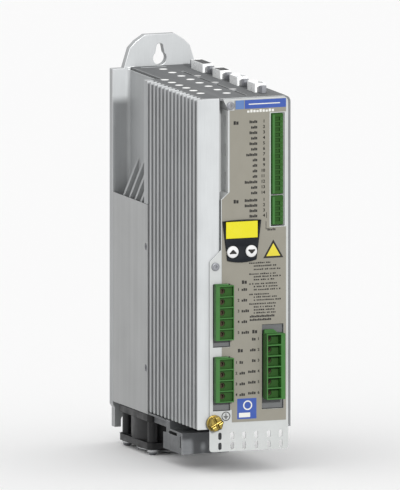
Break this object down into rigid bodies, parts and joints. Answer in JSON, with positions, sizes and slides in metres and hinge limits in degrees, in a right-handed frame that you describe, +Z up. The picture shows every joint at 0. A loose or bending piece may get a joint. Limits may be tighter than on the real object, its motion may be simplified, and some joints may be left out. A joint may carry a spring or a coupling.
{
  "type": "servo drive",
  "caption": "Slim book-shaped servo drive with finned side heatsink, hanging mounting plate, plug-in terminals, keypad, top data connectors and an underside cooling fan.",
  "frame": {"origin": "middle of the rear face of the mounting plate, at half the height of the case", "axes": "+Z up, +X to the right seen from the front, +Y into the cabinet wall; the terminals face -Y"},
  "size_m": [0.07, 0.1844, 0.2878],
  "materials": {
    "cast_aluminium": "satin, extruded and lightly blasted",
    "zinc_sheet": "satin grey coated sheet",
    "painted_panel": "satin light grey",
    "label_film": "matt printed film",
    "black_plastic": "fine moulded grain",
    "display_yellow": "clear window over a yellow display",
    "white_rubber": "soft satin",
    "terminal_green": "moulded polyamide",
    "terminal_grey": "moulded polyamide",
    "plated_steel": "bright plated",
    "brass": "turned, lightly tarnished",
    "board_green": "solder mask",
    "capacitor_blue": "shrink sleeve",
    "module_grey": "moulded"
  },
  "bodies": {
    "chassis": {"heatsink": "cast_aluminium", "duct_cover": "zinc_sheet", "duct_cover_screw_upper": "plated_steel", "duct_cover_screw_lower": "plated_steel", "housing": "zinc_sheet", "front_panel": "painted_panel", "front_label": "label_film", "panel_screw_upper": "plated_steel", "panel_screw_lower": "plated_steel", "earth_screw": "brass", "earth_washer": "brass", "keypad_bezel": "black_plastic", "display_window": "display_yellow", "display_module": "module_grey", "keypad_board": "board_green", "mains_header": "terminal_grey", "motor_header": "terminal_grey", "supply_header": "terminal_grey", "control_header": "terminal_grey", "auxiliary_header": "terminal_grey", "fan_bracket": "zinc_sheet", "fan_frame": "black_plastic", "fan_guard": "plated_steel", "power_board": "board_green", "control_board": "board_green", "power_module": "module_grey", "filter_choke": "module_grey", "fan_screw_1": "plated_steel", "fan_screw_2": "plated_steel", "fan_screw_3": "plated_steel", "fan_screw_4": "plated_steel", "bus_capacitor_1": "capacitor_blue", "bus_capacitor_2": "capacitor_blue", "bus_capacitor_3": "capacitor_blue", "encoder_shell": "plated_steel", "encoder_insert": "black_plastic", "encoder_jackscrew_front": "plated_steel", "encoder_jackscrew_rear": "plated_steel", "bus_shell": "plated_steel", "bus_insert": "black_plastic", "bus_jackscrew_front": "plated_steel", "bus_jackscrew_rear": "plated_steel", "pulse_shell": "plated_steel", "pulse_insert": "white_rubber", "pulse_jackscrew_front": "plated_steel", "pulse_jackscrew_rear": "plated_steel", "service_shell": "plated_steel", "service_insert": "white_rubber", "service_jackscrew_front": "plated_steel", "service_jackscrew_rear": "plated_steel"},
    "fan_rotor": {"fan_rotor": "black_plastic"},
    "button_up": {"button_up": "white_rubber"},
    "button_down": {"button_down": "white_rubber"},
    "mains_plug": {"mains_plug": "terminal_green"},
    "motor_plug": {"motor_plug": "terminal_green"},
    "supply_plug": {"supply_plug": "terminal_green"},
    "control_plug": {"control_plug": "terminal_green"},
    "auxiliary_plug": {"auxiliary_plug": "terminal_green"}
  },
  "joints": [
    {"name": "fan_spin", "type": "hinge", "parent": "chassis", "child": "fan_rotor", "pos_m": [-0.005, -0.0476, -0.1309], "axis": [0, 0, 1], "continuous": true},
    {"name": "button_up_press", "type": "slide", "parent": "chassis", "child": "button_up", "axis": [0, 1, 0], "range_m": [0, 0.0008], "stiffness_N_per_m": 500},
    {"name": "button_down_press", "type": "slide", "parent": "chassis", "child": "button_down", "axis": [0, 1, 0], "range_m": [0, 0.0008], "stiffness_N_per_m": 500},
    {"name": "mains_plug_pull", "type": "slide", "parent": "chassis", "child": "mains_plug", "axis": [0, -1, 0], "range_m": [0, 0.012]},
    {"name": "motor_plug_pull", "type": "slide", "parent": "chassis", "child": "motor_plug", "axis": [0, -1, 0], "range_m": [0, 0.012]},
    {"name": "supply_plug_pull", "type": "slide", "parent": "chassis", "child": "supply_plug", "axis": [0, -1, 0], "range_m": [0, 0.012]},
    {"name": "control_plug_pull", "type": "slide", "parent": "chassis", "child": "control_plug", "axis": [0, -1, 0], "range_m": [0, 0.012]},
    {"name": "auxiliary_plug_pull", "type": "slide", "parent": "chassis", "child": "auxiliary_plug", "axis": [0, -1, 0], "range_m": [0, 0.012]}
  ]
}
